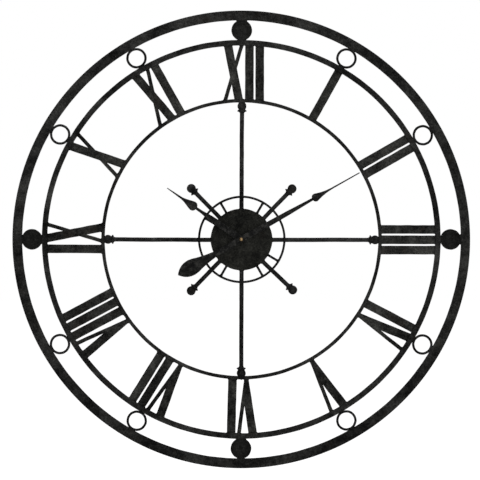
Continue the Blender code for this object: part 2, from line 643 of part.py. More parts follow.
def electronics():
    board = box((-26.5, -15.0), (-5.6, -4.6), (-9.0, 17.0))
    crystal = turned([(0, 2.0), (1.0, 2.0), (1.0, 8.2), (0, 8.2)], 12)
    bmesh.ops.translate(crystal, verts=crystal.verts, vec=(-18.0, -6.3, 0))
    chip = turned_y([(0, -6.6), (1.8, -6.3), (2.4, -5.4), (0, -5.4)], 14)
    add_part("circuit_board", combine(board, [crystal, moved(chip, (-21.0, -2.0))]), BOARD)
    blade = box((-26.0, -25.6), (-13.5, -5.9), (-24.0, -6.0))
    add_part("battery_contact_minus", blade, STEEL)
    blade = box((25.6, 26.0), (-13.5, -5.9), (-24.0, -9.5))
    strip = box((-17.0, 25.8), (-6.9, -5.95), (-9.9, -9.5))
    tab = box((-17.0, -16.6), (-6.85, -6.0), (-9.7, -8.0))
    add_part("battery_contact_plus", combine(blade, [strip, tab]), STEEL)


def battery():
    """An AA cell lying across the bay, with its raised end to the right."""
    half = CELL_LENGTH / 2
    shoulder = half - CELL_NUB
    profile = [
        (0, -half), (6.2, -half), (CELL_R, -half + 0.7), (CELL_R, shoulder - 0.7),
        (6.4, shoulder), (2.7, shoulder), (2.7, half), (0, half),
    ]
    bm = turned(profile, 20)
    bmesh.ops.rotate(bm, verts=bm.verts, matrix=Matrix.Rotation(radians(90), 3, "Y"))
    bmesh.ops.translate(bm, verts=bm.verts, vec=(0, CELL_Y, 0))
    add_part("battery", bm, CELL, at=(0, CELL_Z), smooth=True)


# ---- wall hanger -----------------------------------------------------------
def wall_hanger():
    """A Z-bent strap behind the top disc: welded to the outer ring, with a keyhole at the wall."""
    half = HANGER_HALF
    sheet = HANGER_SHEET
    slot = [(KEY_SLOT / 2 * cos(a), KEY_TOP + KEY_SLOT / 2 * sin(a)) for a in (0, pi / 4, pi / 2)]
    slot += [(-x, z) for x, z in reversed(slot[:2])]
    open_at = degrees(asin(KEY_SLOT / 2 / KEY_HEAD_R))
    sweep = [radians(360 - open_at + (2 * open_at - 360) * k / 12) for k in range(13)]
    head = [(KEY_HEAD_R * sin(a), KEY_HEAD_Z + KEY_HEAD_R * cos(a)) for a in sweep]
    low, high = 334.6, 363.0
    plate = prism([[(-half, low), (half, low), (half, high), (-half, high)], slot + head], -sheet, 0)
    web = box((-half + 0.05, half - 0.05), (PLATE_FRONT + 0.5, -0.5), (high - sheet, high - 0.05))
    flange = box((-half, half), (PLATE_FRONT, PLATE_BACK), (high - sheet + 0.05, 378.0))
    add_part("wall_hanger", combine(plate, [web, flange]), IRON)


def build():
    clear_scene()
    flat_ring("outer_ring", OUTER_R, OUTER_BAND, 96)
    flat_ring("numeral_ring_outer", NUMERAL_OUT_R, NUMERAL_OUT_BAND, 84)
    flat_ring("numeral_ring_inner", NUMERAL_IN_R, NUMERAL_IN_BAND, 72)
    for hour in range(1, 13):
        if hour % 3:
            wire_circle(hour)
        else:
            disc_ornament(hour)
        numeral(hour)
    ball_end = NUMERAL_IN_R - NUMERAL_IN_BAND - GAP
    for hour in (12, 3, 6, 9):
        rod(f"cross_rod_{hour:02d}", ROD_START_CROSS, BALL_CROSS, 30 * hour, ball_end)
    for side, turn in (("upper_right", 45), ("lower_right", 135), ("lower_left", 225), ("upper_left", 315)):
        rod(f"short_rod_{side}", ROD_START_SHORT, BALL_SHORT, turn)
    hub_disc()
    hub_ring()
    wall_hanger()
    movement_case()
    movement_fixing()
    gear_train()
    motor()
    electronics()
    battery()
    hands()


build()
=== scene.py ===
"""Looks of the wrought-iron wall clock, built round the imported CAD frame."""

from math import atan2, cos, degrees, exp, hypot, pi, radians, sin

import bmesh
import bpy
from mathutils import Matrix, Vector, noise


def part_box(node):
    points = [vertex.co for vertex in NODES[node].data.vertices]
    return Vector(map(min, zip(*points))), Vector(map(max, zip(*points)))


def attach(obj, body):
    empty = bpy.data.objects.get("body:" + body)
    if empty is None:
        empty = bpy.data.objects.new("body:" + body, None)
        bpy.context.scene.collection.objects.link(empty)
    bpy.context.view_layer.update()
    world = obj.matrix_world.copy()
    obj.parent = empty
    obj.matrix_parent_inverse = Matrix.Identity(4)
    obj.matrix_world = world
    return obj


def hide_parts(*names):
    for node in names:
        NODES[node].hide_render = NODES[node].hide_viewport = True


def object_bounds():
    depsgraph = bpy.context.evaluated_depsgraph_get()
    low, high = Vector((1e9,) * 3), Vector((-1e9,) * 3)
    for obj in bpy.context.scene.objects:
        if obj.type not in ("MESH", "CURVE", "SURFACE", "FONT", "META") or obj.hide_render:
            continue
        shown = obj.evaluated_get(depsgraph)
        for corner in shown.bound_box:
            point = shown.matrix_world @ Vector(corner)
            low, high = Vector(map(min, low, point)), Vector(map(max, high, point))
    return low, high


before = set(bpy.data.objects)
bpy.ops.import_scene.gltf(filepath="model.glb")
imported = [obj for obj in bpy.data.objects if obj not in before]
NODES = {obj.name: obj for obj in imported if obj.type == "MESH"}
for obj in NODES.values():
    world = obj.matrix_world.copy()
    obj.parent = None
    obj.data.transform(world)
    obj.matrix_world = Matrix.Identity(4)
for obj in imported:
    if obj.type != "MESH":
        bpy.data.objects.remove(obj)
cad_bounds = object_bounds()
MM = 0.001


# ---- materials --------------------------------------------------------------
class Nodes:
    """A material's node tree, written one node at a time."""

    def __init__(self, name):
        self.material = bpy.data.materials.new(name)
        self.material.use_nodes = True
        self.tree = self.material.node_tree
        self.shader = self.tree.nodes["Principled BSDF"]
        where = self.new("ShaderNodeTexCoord")
        self.place, self.normal = where.outputs["Object"], where.outputs["Normal"]

    def new(self, kind):
        return self.tree.nodes.new(kind)

    def link(self, a, b):
        self.tree.links.new(a, b)

    def noise(self, scale, detail=3.0, rough=0.55, distortion=0.0, stretch=None):
        """Noise with scale in waves per metre."""
        node = self.new("ShaderNodeTexNoise")
        node.inputs["Scale"].default_value = scale
        node.inputs["Detail"].default_value = detail
        node.inputs["Roughness"].default_value = rough
        node.inputs["Distortion"].default_value = distortion
        if stretch:
            mapping = self.new("ShaderNodeMapping")
            mapping.inputs["Scale"].default_value = stretch
            self.link(self.place, mapping.inputs["Vector"])
            self.link(mapping.outputs["Vector"], node.inputs["Vector"])
        else:
            self.link(self.place, node.inputs["Vector"])
        return node.outputs["Fac"]

    def cells(self, scale):
        node = self.new("ShaderNodeTexVoronoi")
        node.inputs["Scale"].default_value = scale
        self.link(self.place, node.inputs["Vector"])
        return node.outputs["Distance"]

    def weighed(self, *terms):
        """The sum of values, each times its weight."""
        total = None
        for value, weight in terms:
            node = self.new("ShaderNodeMath")
            node.operation = "MULTIPLY_ADD"
            self.link(value, node.inputs[0])
            node.inputs[1].default_value = weight
            node.inputs[2].default_value = 0.0
            if total:
                self.link(total, node.inputs[2])
            total = node.outputs[0]
        return total

    def range(self, value, low, high, to_low=0.0, to_high=1.0):
        node = self.new("ShaderNodeMapRange")
        node.inputs["From Min"].default_value = low
        node.inputs["From Max"].default_value = high
        node.inputs["To Min"].default_value = to_low
        node.inputs["To Max"].default_value = to_high
        self.link(value, node.inputs["Value"])
        return node.outputs["Result"]

    def side(self, low, high):
        """0 where the surface faces the dial's front or back, up to 1 where it faces sideways;
        iron() paints shade with it.

        low and high are the sizes of the normal's y part at 1 and at 0.
        """
        parts = self.new("ShaderNodeSeparateXYZ")
        self.link(self.normal, parts.inputs[0])
        size = self.new("ShaderNodeMath")
        size.operation = "ABSOLUTE"
        self.link(parts.outputs["Y"], size.inputs[0])
        return self.range(size.outputs[0], low, high, 1.0, 0.0)

    def ramp(self, value, stops):
        node = self.new("ShaderNodeValToRGB")
        ramp = node.color_ramp
        while len(ramp.elements) < len(stops):
            ramp.elements.new(0.5)
        for element, (at, colour) in zip(ramp.elements, stops):
            element.position = at
            element.color = (*colour, 1.0)
        self.link(value, node.inputs["Fac"])
        return node.outputs["Color"]

    def mix(self, factor, a, b):
        node = self.new("ShaderNodeMix")
        node.data_type = "RGBA"
        for socket, value in ((node.inputs[0], factor), (node.inputs[6], a), (node.inputs[7], b)):
            if isinstance(value, bpy.types.NodeSocket):
                self.link(value, socket)
            else:
                socket.default_value = value if isinstance(value, float) else (*value, 1.0)
        return node.outputs[2]

    def bump(self, height, distance, strength=1.0):
        """Adds a bump, in metres, on top of the ones before it."""
        node = self.new("ShaderNodeBump")
        node.inputs["Distance"].default_value = distance
        node.inputs["Strength"].default_value = strength
        self.link(height, node.inputs["Height"])
        socket = self.shader.inputs["Normal"]
        if socket.is_linked:
            self.link(socket.links[0].from_socket, node.inputs["Normal"])
        self.link(node.outputs["Normal"], socket)

    def colour(self, value):
        if isinstance(value, bpy.types.NodeSocket):
            self.link(value, self.shader.inputs["Base Color"])
        else:
            self.shader.inputs["Base Color"].default_value = (*value, 1.0)

    def rough(self, value):
        if isinstance(value, bpy.types.NodeSocket):
            self.link(value, self.shader.inputs["Roughness"])
        else:
            self.shader.inputs["Roughness"].default_value = value

    def set(self, socket, value):
        self.shader.inputs[socket].default_value = value


SIDE_SHADE = 0.7  # how strongly painted shade darkens the sides turned away from the dial's front


def iron(name, level, hammer, warm=0.0, spread=1.0, slopes=(0.3, 0.97)):
    """Waxed black iron: mottled scale, hammer marks, fine pits, a few rubbed spots and painted
    shade on its sides.

    level is the middle tone's reflectance, hammer the marks' depth in metres, and warm takes
    blue away for an olive tint. A larger spread is a stronger mottle, and slopes go to side(),
    which sets where the sides get painted shade.
    """
    m = Nodes(name)
    patches = m.noise(17, 2, 0.5, 0.6)
    blotch = m.noise(95, 3, 0.6, 0.3)
    grain = m.noise(330, 3, 0.65)
    mixed = m.weighed((patches, 0.34), (blotch, 0.3), (grain, 0.36))

    def tone(factor):
        value = level * factor
        return value, value, value * (1 - warm)

    half = 0.095 / spread
    colour = m.ramp(mixed, (
        (0.5 - 1.2 * half, tone(0.06)), (0.5 - 0.6 * half, tone(0.4)), (0.5, tone(1.0)),
        (0.5 + 0.6 * half, tone(1.8)), (0.5 + 1.3 * half, tone(3.2)),
    ))
    rust = m.range(m.noise(41, 3, 0.6), 0.58, 0.68, 0.0, 0.35)
    colour = m.mix(rust, colour, (level * 1.5, level * 1.2, level * 0.95))
    chips = m.range(m.cells(46), 0.012, 0.03, 1.0, 0.0)
    colour = m.mix(m.weighed((chips, 0.85)), colour, (0.075, 0.07, 0.062))
    # painted shade: a darker colour where the surface turns sideways, away from the dial's front
    dark = tuple(0.3 * v for v in tone(1.0))
    m.colour(m.mix(m.weighed((m.side(*slopes), SIDE_SHADE)), colour, dark))
    m.rough(m.range(mixed, 0.4, 0.6, 0.72, 0.5))
    m.set("Specular IOR Level", 0.06)
    m.bump(m.noise(80, 2, 0.5), hammer)
    m.bump(blotch, 0.0006)
    m.bump(grain, 0.00035)
    return m.material


def painted(name):
    """Satin black paint on sheet: clouds, orange peel and a few rubbed specks."""
    m = Nodes(name)
    cloud = m.noise(85, 3, 0.6, 0.4)
    fine = m.noise(330, 3, 0.6)
    mixed = m.weighed((cloud, 0.55), (fine, 0.45))
    colour = m.ramp(mixed, (
        (0.41, (0.0012, 0.0012, 0.0012)), (0.5, (0.0068, 0.0068, 0.0064)),
        (0.59, (0.022, 0.0215, 0.020)),
    ))
    specks = m.range(m.cells(60), 0.015, 0.04, 1.0, 0.0)
    m.colour(m.mix(specks, colour, (0.06, 0.056, 0.05)))
    m.rough(m.range(fine, 0.35, 0.65, 0.48, 0.66))
    m.set("Specular IOR Level", 0.055)
    m.bump(cloud, 0.0006)
    m.bump(fine, 0.00015)
    return m.material


def metal(name, colour, tint, roughness, stretch):
    m = Nodes(name)
    lines = m.noise(400, 3, 0.6, 0.0, stretch)
    stain = m.noise(130, 3, 0.6)
    m.colour(m.mix(m.range(stain, 0.35, 0.75), colour, tint))
    m.rough(m.range(lines, 0.3, 0.7, roughness - 0.06, roughness + 0.1))
    m.set("Metallic", 1.0)
    m.bump(lines, 0.00002)
    return m.material


def plastic(name, colour, tint, roughness, texture=0.00003):
    m = Nodes(name)
    cloud = m.noise(60, 3, 0.6)
    spark = m.noise(1800, 2, 0.5)
    m.colour(m.mix(m.range(cloud, 0.35, 0.7), colour, tint))
    m.rough(m.range(spark, 0.3, 0.7, roughness - 0.06, roughness + 0.08))
    m.bump(spark, texture)
    return m.material


BAND = iron("iron_band", 0.0098, 0.0006, 0.06)
PLATE = iron("iron_plate", 0.0130, 0.0004, 0.09)
ROD = iron("iron_rod", 0.0100, 0.0003, 0.03)
WIRE_IRON = iron("iron_wire", 0.0065, 0.0002, 0.03)
# its narrow slopes also paint shade on the relief's gently sloping rings
DISC_IRON = iron("iron_pressing", 0.0066, 0.0003, 0.08, 0.8, (0.8, 0.995))
HUB_IRON = iron("iron_hub", 0.0068, 0.0005, 0.18, 0.85)
PAINT = painted("satin_black_paint")
BRASS = metal("turned_brass", (0.62, 0.42, 0.16), (0.45, 0.29, 0.10), 0.28, (1, 12, 1))
OLD_BRASS = metal("tarnished_brass", (0.24, 0.165, 0.085), (0.15, 0.10, 0.05), 0.38, (1, 12, 1))
DARK_BRASS = metal("dark_brass", (0.025, 0.019, 0.012), (0.016, 0.012, 0.009), 0.45, (1, 12, 1))
STEEL = metal("strip_steel", (0.42, 0.42, 0.43), (0.32, 0.32, 0.33), 0.34, (1, 1, 10))
COPPER = metal("enamelled_copper", (0.50, 0.19, 0.07), (0.38, 0.13, 0.05), 0.3, (1, 1, 30))
ABS = plastic("moulded_black", (0.012, 0.012, 0.013), (0.017, 0.017, 0.018), 0.46)
ACETAL = plastic("natural_acetal", (0.72, 0.71, 0.65), (0.66, 0.65, 0.58), 0.4)
RUBBER = plastic("matt_rubber", (0.010, 0.010, 0.010), (0.015, 0.015, 0.015), 0.8, 0.00006)
BOARD = plastic("solder_mask", (0.02, 0.10, 0.04), (0.016, 0.08, 0.032), 0.4)
SLEEVE = plastic("cell_sleeve", (0.06, 0.07, 0.08), (0.05, 0.058, 0.068), 0.3)


# ---- pieces -----------------------------------------------------------------
def round_edges(obj, width, angle, clamp=True):
    """Bevel the edges that are sharper than an angle in degrees, by a width in millimetres."""
    edge = obj.modifiers.new("rounded_edges", "BEVEL")
    edge.width = width * MM
    edge.segments = 2
    edge.limit_method = "ANGLE"
    edge.angle_limit = radians(angle)
    edge.use_clamp_overlap = clamp
    edge.harden_normals = True


def mesh_piece(name, bm, material, body="frame", stands_for=(), bevel=0.0):
    """Link a bmesh in millimetres as a smooth piece that rides on a CAD body."""
    bmesh.ops.recalc_face_normals(bm, faces=bm.faces)
    bmesh.ops.scale(bm, vec=(MM, MM, MM), verts=bm.verts)
    mesh = bpy.data.meshes.new(name)
    bm.to_mesh(mesh)
    bm.free()
    mesh.materials.append(material)
    obj = bpy.data.objects.new(name, mesh)
    bpy.context.scene.collection.objects.link(obj)
    mesh.shade_smooth()
    if bevel:
        round_edges(obj, bevel, 30, clamp=False)
    else:
        mesh.set_sharp_from_angle(angle=radians(42))
    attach(obj, body)
    if stands_for:
        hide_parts(*stands_for)
    return obj


def wander(point, size, wave, seed):
    """A smooth random shift of a point in millimetres, for hand-made edges."""
    spot = Vector((point[0] / wave, point[1] / wave, seed))
    return Vector((noise.noise(spot), noise.noise(spot + Vector((31.7, 11.3, 5.1))))) * size


def radius_span(node):
    """The smallest and largest distance of a node's vertices from the hands' axis, in mm."""
    spans = [hypot(v.co.x, v.co.z) / MM for v in NODES[node].data.vertices]
    return min(spans), max(spans)


def depth_span(node):
    low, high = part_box(node)
    return low[1] / MM, high[1] / MM


def front_loops(node):
    """The outlines of the faces in a plate's front plane, as loops of (x, z) in mm."""
    front = depth_span(node)[0]
    bm = bmesh.new()
    bm.from_mesh(NODES[node].data)
    bmesh.ops.remove_doubles(bm, verts=bm.verts, dist=2e-6)
    flat = [f for f in bm.faces if all(abs(v.co.y / MM - front) < 0.02 for v in f.verts)]
    known = set(flat)
    after = {}
    for face in flat:
        for loop in face.loops:
            if not any(other in known for other in loop.edge.link_faces if other is not face):
                after[loop.vert] = loop.link_loop_next.vert
    loops = []
    while after:
        start, vert = after.popitem()
        chain = [start]
        while vert is not start:
            chain.append(vert)
            vert = after.pop(vert)
        loops.append([(v.co.x / MM, v.co.z / MM) for v in chain])
    bm.free()
    return loops


def straighten(loop):
    """Drop points that lie on a straight line between their neighbours."""
    kept = []
    for k, point in enumerate(loop):
        a, b, c = Vector(loop[k - 1]), Vector(point), Vector(loop[(k + 1) % len(loop)])
        if (b - a).length > 0.01 and abs((b - a).normalized().cross((c - b).normalized())) > 0.01:
            kept.append(point)
    return kept


def grown(loop, margin):
    """Move an outline's corners outwards by a margin."""
    moved = []
    for k, point in enumerate(loop):
        a, b, c = Vector(loop[k - 1]), Vector(point), Vector(loop[(k + 1) % len(loop)])
        before, after = (b - a).normalized(), (c - b).normalized()
        out = Vector((before.y, -before.x)) + Vector((after.y, -after.x))
        out *= 1 / max(0.5, out.length_squared / 2)
        moved.append(b + out * margin)
    return moved


def hand_cut(loop, step, size, seed, margin):
    """Split an outline's long sides and let the points wander a little."""
    points = []
    loop = grown(loop, margin)
    for k, b in enumerate(loop):
        a = loop[k - 1]
        count = max(1, int((b - a).length / step))
        for n in range(count):
            point = a.lerp(b, n / count)
            points.append(point + wander(point, size, 14.0, seed))
    return points


def sheet(bm, loop, front, back):
    """Add a flat plate of the given outline to bm, between two y planes."""
    near = [bm.verts.new((x, front, z)) for x, z in loop]
    far = [bm.verts.new((x, back, z)) for x, z in loop]
    bm.faces.new(near)
    bm.faces.new(reversed(far))
    for i in range(len(near)):
        bm.faces.new((near[i - 1], near[i], far[i], far[i - 1]))


def absorb(bm, other):
    """Add another bmesh to bm and free it."""
    mesh = bpy.data.meshes.new("absorbed")
    other.to_mesh(mesh)
    other.free()
    bm.from_mesh(mesh)
    bpy.data.meshes.remove(mesh)


def round_section(wire, y):
    """A round wire's section, as (dr, y) points about its middle."""
    angles = [2 * pi * k / 10 for k in range(10)]
    return [(wire * cos(a), y + wire * sin(a)) for a in angles]


def swept_ring(radius, section, count, shift):
    """A ring about the hands' axis: section points are (dr, y), shift(angle, k) moves each."""
    bm = bmesh.new()
    rows = []
    for n in range(count):
        a = 2 * pi * n / count
        row = []
        for k, (dr, y) in enumerate(section):
            sr, sy = shift(a, k)
            r = radius + dr + sr
            row.append(bm.verts.new((r * sin(a), y + sy, r * cos(a))))
        rows.append(row)
    for n in range(count):
        for k in range(len(section)):
            a, b = rows[n], rows[(n + 1) % count]
            j = (k + 1) % len(section)
            bm.faces.new((a[k], b[k], b[j], a[j]))
    return bm


def turned(profile, steps, closed=False):
    """Turn (radius, height) points about local Z."""
    bm = bmesh.new()
    rows = []
    for r, h in profile:
        if r == 0:
            rows.append([bm.verts.new((0, 0, h))])
        else:
            angles = [2 * pi * k / steps for k in range(steps)]
            rows.append([bm.verts.new((r * cos(a), r * sin(a), h)) for a in angles])
    for n in range(len(rows) if closed else len(rows) - 1):
        low, high = rows[n], rows[(n + 1) % len(rows)]
        for k in range(steps):
            j = (k + 1) % steps
            quad = [low[k % len(low)], low[j % len(low)], high[j % len(high)], high[k % len(high)]]
            bm.faces.new(list(dict.fromkeys(quad)))
    return bm


def facing(bm, at=(0, 0, 0)):
    """Turn a shape's local Z to face the dial's front, then move it, in mm."""
    bmesh.ops.rotate(bm, verts=bm.verts, matrix=Matrix.Rotation(radians(90), 3, "X"))
    bmesh.ops.translate(bm, verts=bm.verts, vec=at)
    return bm


def clock_turn(bm, angle):
    """Turn a shape clockwise about the hands' axis."""
    bmesh.ops.rotate(bm, verts=bm.verts, matrix=Matrix.Rotation(radians(angle), 3, "Y"))
    return bm


def bead(bm, at, size, seed, detail=2):
    """Add a lumpy weld bead to bm: centre and half sizes in mm."""
    made = bmesh.ops.create_icosphere(bm, subdivisions=detail, radius=1.0)
    for vert in made["verts"]:
        lump = 1 + 0.22 * noise.noise(vert.co * 1.7 + Vector((seed, 2.3 * seed, 0.7)))
        x, y, z = vert.co * lump
        vert.co = Vector((at[0] + x * size[0], at[1] + y * size[1], at[2] + z * size[2]))
    return made["verts"]


# ---- dial frame -------------------------------------------------------------
# The inner frame is welded a little off the outer ring's middle: right and up, in mm.
SET_OFF = {
    "numeral_ring_inner": (0.4, 0.3), "hub_disc": (0.4, -0.2), "hub_ring": (0.8, 0.0),
    "rods": (0.4, -0.5),
}


def set_off(bm, name):
    """Shift a shape by its setting error."""
    x, z = SET_OFF[name]
    bmesh.ops.translate(bm, verts=bm.verts, vec=(x, 0, z))


def band_section(band, front, back, soft):
    """A flat bar's section with rounded corners, as (dr, y) from its outer edge inwards."""
    half = 0.29 * soft
    return [
        (0, front + soft), (-half, front + half), (-soft, front), (-soft - 0.5, front),
        (-band / 2, front), (soft + 0.5 - band, front), (soft - band, front),
        (half - band, front + half), (-band, front + soft), (-band, back - soft),
        (half - band, back - half), (soft - band, back), (-band / 2, back), (-soft, back),
        (-half, back - half), (0, back - soft),
    ]


def iron_ring(node, seed, soft, grow_out, grow_in, thin=0.0):
    """A flat rolled ring with scale on its edges, which makes it a little wider.

    soft is its corners' radius, and thin is how much narrower it is near 3 o'clock.
    """
    inner, outer = radius_span(node)
    front, back = depth_span(node)
    band = outer - inner
    section = band_section(band, front, back, soft)
    limit = cad_bounds[1][0] / MM

    def shift(a, k):
        dr = section[k][0]
        side = 0 if dr > -band / 2 else 9
        spot = Vector((outer * sin(a) / 24, outer * cos(a) / 24, seed + side))
        wave = 0.3 * noise.noise(spot)
        lift = 0.1 + 0.12 * noise.noise(spot * 1.6 + Vector((0, 0, 40)))
        if dr > -band / 2:
            return min(grow_out + wave, limit - outer - 0.01), lift
        narrow = thin * exp(-(((degrees(a) - 88) / 24) ** 2))
        return narrow - grow_in + wave, lift

    bm = swept_ring(outer, section, 480, shift)
    if node in SET_OFF:
        set_off(bm, node)
    mesh_piece(f"{node}_iron", bm, BAND, stands_for=[node])


iron_ring("outer_ring", 1, 0.45, 0.4, 0.5, 0.9)
iron_ring("numeral_ring_outer", 2, 0.45, 0.25, 0.5)
iron_ring("numeral_ring_inner", 3, 0.4, 0.2, 0.55)


def crossings(loop, radius):
    """The points where an outline crosses a circle about the hands' axis."""
    found = []
    for k, end in enumerate(loop):
        a, b = Vector(loop[k - 1]), Vector(end)
        if (a.length - radius) * (b.length - radius) < 0:
            t = (radius - a.length) / (b.length - a.length)
            found.append(a.lerp(b, t))
    return found


PLATE_GROW = 0.35  # scale and paint on the cut edges, in mm


def numerals():
    """The numeral plates, and the small welds in the corners where they meet the rings."""
    welds = bmesh.new()
    ring_edges = (radius_span("numeral_ring_outer")[0], radius_span("numeral_ring_inner")[1])
    for hour in range(1, 13):
        node = f"numeral_{hour:02d}"
        front, back = depth_span(node)
        bm = bmesh.new()
        for k, loop in enumerate(front_loops(node)):
            outline = straighten(loop)
            sheet(bm, hand_cut(outline, 4.5, 0.3, hour + 0.37 * k, PLATE_GROW), front, back)
            for edge in ring_edges:
                for n, point in enumerate(crossings(outline, edge)):
                    seed = hour + 0.61 * n + 0.1 * k
                    bead(welds, (point.x, front - 0.5, point.y), (1.5, 0.9, 1.5), seed, 1)
        mesh_piece(f"{node}_plate", bm, PLATE, stands_for=[node], bevel=0.35)
    mesh_piece("numeral_welds", welds, ROD)


numerals()

ORNAMENT_R = (radius_span("outer_ring")[0] + radius_span("numeral_ring_outer")[1]) / 2
ORNAMENT_GAP = radius_span("outer_ring")[0] - radius_span("numeral_ring_outer")[1]
MID_Y = sum(depth_span("outer_ring")) / 2


def ornament_turn(node):
    """The clock angle of an ornament's middle, in degrees."""
    low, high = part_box(node)
    return degrees(atan2(low[0] + high[0], low[2] + high[2]))


def wire_circle(hour):
    """A bent round wire with its two welds."""
    node = f"circle_ornament_{hour:02d}"
    wire = 2.05
    radius = ORNAMENT_GAP / 2 + 0.45 - wire

    def shift(a, k):
        return 0.22 * noise.noise(Vector((3 * sin(a), 3 * cos(a), 2.1 * hour))), 0.0

    bm = swept_ring(radius, round_section(wire, MID_Y), 64, shift)
    for n, side in enumerate((-1, 1)):
        seed = hour * 1.7 + n
        wide = 4.2 + 1.2 * noise.noise(Vector((seed, 4.2, 1.1)))
        bead(bm, (0, MID_Y - 0.2, side * (ORNAMENT_GAP / 2 - 0.2)), (wide, 1.7, 1.5), seed)
    bmesh.ops.translate(bm, verts=bm.verts, vec=(0, 0, ORNAMENT_R))
    clock_turn(bm, ornament_turn(node))
    mesh_piece(f"circle_{hour:02d}_wire", bm, WIRE_IRON, stands_for=[node])


def neck(bm, half, side, front, back):
    """A short filleted web between a disc and a ring; side is 1 outwards and -1 inwards."""
    edge = ORNAMENT_GAP / 2
    points = ((half + 1.1, edge + 0.6), (half + 0.25, edge - 0.6), (half, edge - 1.6),
              (half - 0.1, edge - 3.4), (half - 0.6, edge - 6.0))
    right = [(x, side * z) for x, z in points]
    left = [(-x, z) for x, z in reversed(right)]
    sheet(bm, right + left, front, back)


def dished_disc(hour, outer_neck, inner_neck, set_in):
    """A pressed disc with a rolled rim, a raised ring and a dimple.

    The necks are half widths, and set_in is how far it sits nearer the inner ring.
    """
    node = f"disc_ornament_{hour:02d}"
    rim = ORNAMENT_GAP / 2 + 0.55
    profile = [
        (0, 15.2), (rim - 0.9, 15.2), (rim - 0.25, 15.5), (rim, 16.3), (rim - 0.2, 17.4),
        (rim - 0.8, 18.3), (rim - 1.7, 18.5), (rim - 2.6, 17.9), (rim - 3.5, 17.5),
        (rim - 4.3, 17.9), (rim - 5.2, 18.3), (rim - 6.3, 17.9), (rim - 7.6, 17.1),
        (rim - 9.6, 16.6), (5.0, 16.7), (4.2, 17.0), (3.4, 16.9), (2.5, 16.2), (1.4, 15.7),
        (0.7, 15.6), (0, 15.6),
    ]
    bm = turned(profile, 72)
    for vert in bm.verts:
        spot = Vector((vert.co.x / 6, vert.co.y / 6, 3.3 * hour))
        vert.co.z += 0.22 * noise.noise(spot) * min(1.0, max(0.0, vert.co.z - 15.3))
        push = 0.3 * noise.noise(spot * 0.8 + Vector((0, 0, 20)))
        far = hypot(vert.co.x, vert.co.y)
        if far > rim - 1:
            vert.co.x *= 1 + push / far
            vert.co.y *= 1 + push / far
    facing(bm, (0, 0, -set_in))
    neck(bm, outer_neck, 1, -17.7, -15.4)
    neck(bm, inner_neck, -1, -17.7, -15.4)
    bmesh.ops.translate(bm, verts=bm.verts, vec=(0, 0, ORNAMENT_R))
    clock_turn(bm, ornament_turn(node))
    mesh_piece(f"disc_{hour:02d}_pressing", bm, DISC_IRON, stands_for=[node])


for hour in range(1, 13):
    if hour % 3:
        wire_circle(hour)
dished_disc(12, 9.2, 7.3, 0.4)
dished_disc(3, 8.3, 6.5, 0.0)
dished_disc(6, 6.3, 8.4, 0.4)
dished_disc(9, 7.3, 7.5, 0.0)

# ---- rods and hub -------------------------------------------------------------
ROD_Y = -16.5
ROD_R = 3.6
BALL_R = 7.6
BALL_TO_COLLAR = 8.0
CROSS_BALL, SHORT_BALL = 222.3, 119.4  # distance of the balls from the hands' axis
# clock angle, ball, and the setting error: a shift across the rod and a lean, clockwise
RODS = {
    "cross_rod_12": (0, CROSS_BALL, -0.15, 0.0040),
    "cross_rod_03": (90, CROSS_BALL, 0.20, 0.0),
    "cross_rod_06": (180, CROSS_BALL, -0.35, 0.0037),
    "cross_rod_09": (270, CROSS_BALL, -0.40, 0.0037),
    "short_rod_upper_right": (45, SHORT_BALL, 1.90, -0.0195),
    "short_rod_lower_right": (135, SHORT_BALL, 1.95, -0.0240),
    "short_rod_lower_left": (225, SHORT_BALL, 0.90, -0.0145),
    "short_rod_upper_left": (315, SHORT_BALL, 0.0, 0.0097),
}


def forged_rod(node, turn, ball, across_shift, lean):
    """A round bar, a little uneven, that flares into a collar and a ball."""
    start = radius_span(node)[0]
    collar = ball - BALL_TO_COLLAR
    straight = collar - 4.6 - start
    profile = [(0, start), (ROD_R, start)]
    profile += [(ROD_R, start + straight * k / 24) for k in range(1, 25)]
    profile += [
        (ROD_R + 0.25, collar - 3.2), (ROD_R + 1.0, collar - 2.1), (5.9, collar - 1.35),
        (7.3, collar - 0.95), (7.8, collar - 0.35), (7.75, collar + 0.45),
        (7.1, collar + 1.05), (6.2, collar + 1.7), (5.7, collar + 2.3),
    ]
    for k in range(14):
        a = radians(-41 + 131 * k / 13)
        profile.append((BALL_R * cos(a) if k < 13 else 0, ball + BALL_R * sin(a)))
    bm = turned(profile, 20)
    for vert in bm.verts:
        across = Vector((vert.co.x, vert.co.y))
        spot = Vector((across.x / 5, across.y / 5, vert.co.z / 11)) + Vector((turn, 0.3 * turn, 0))
        across *= 1 + 0.045 * noise.noise(spot)
        bend = 0.25 * noise.noise(Vector((turn, 7.7, vert.co.z / 45)))
        bend = bend + across_shift + lean * vert.co.z
        vert.co.x, vert.co.y = across.x + bend, across.y + ROD_Y
    clock_turn(bm, turn)
    set_off(bm, "rods")
    mesh_piece(f"{node}_bar", bm, ROD, stands_for=[node])


def polar(r, turn, across=0.0):
    """The (x, z) of a point at a radius and a clock angle, moved across clockwise."""
    a = radians(turn)
    return r * sin(a) + across * cos(a), r * cos(a) - across * sin(a)


def straight_wire(bm, near, far, turn, radius, y, flare):
    """A radial wire that flares at both ends, from r = near to r = far."""
    wire = turned([
        (0, near), (radius + flare, near), (radius + 0.4 * flare, near + 1.2),
        (radius, near + 2.6), (radius, (near + far) / 2), (radius, far - 2.6),
        (radius + 0.4 * flare, far - 1.2), (radius + flare, far), (0, far),
    ], 10)
    bmesh.ops.translate(wire, verts=wire.verts, vec=(0, y, 0))
    clock_turn(wire, turn)
    absorb(bm, wire)


HUB_R, HUB_RING_R = radius_span("hub_disc")[1], radius_span("hub_ring")[1]
HUB_RING_BACK = depth_span("hub_ring")[1]
HUB_WIRE = 1.9
SPOKE_ANGLES = (30.25, 60, 120.75, 150.3, 209.7, 240, 300, 329.9)


